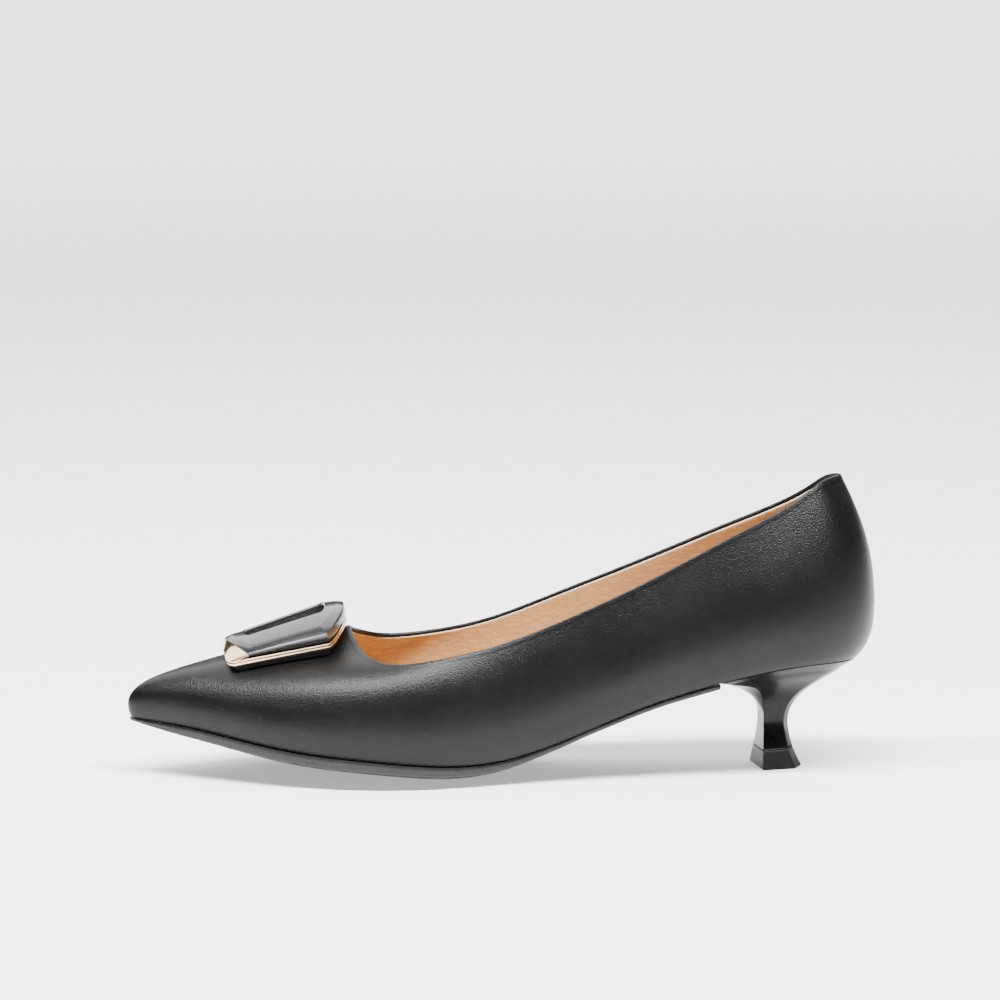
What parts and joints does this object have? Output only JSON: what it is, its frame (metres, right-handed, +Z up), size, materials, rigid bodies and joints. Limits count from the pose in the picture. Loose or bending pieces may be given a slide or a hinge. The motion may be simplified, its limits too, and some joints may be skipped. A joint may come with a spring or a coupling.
{
  "type": "heeled shoe",
  "caption": "Left pointed-toe leather pump with a low flared heel, a low open topline and a squared buckle ornament on the vamp.",
  "frame": {"origin": "the middle of the face that the heel stands on", "axes": "-X to the toe, -Y to the wearer's outer side, +Z up from the floor"},
  "size_m": [0.2505, 0.0791, 0.0994],
  "materials": {
    "upper_leather": "fine pebbled calf with a satin sheen",
    "sock_leather": "tan leather with a fine wrinkled grain",
    "sole_edge": "smooth satin black",
    "heel_lacquer": "glossy black",
    "top_piece": "satin black rubber",
    "buckle_gold": "polished pale gold",
    "buckle_enamel": "glossy black enamel"
  },
  "bodies": {
    "root": {"upper": "upper_leather", "insole": "sock_leather", "outsole": "sole_edge", "heel": "heel_lacquer", "heel_top_piece": "top_piece", "buckle_base": "top_piece", "buckle_tray": "buckle_gold", "buckle_frame": "buckle_enamel"}
  },
  "joints": []
}
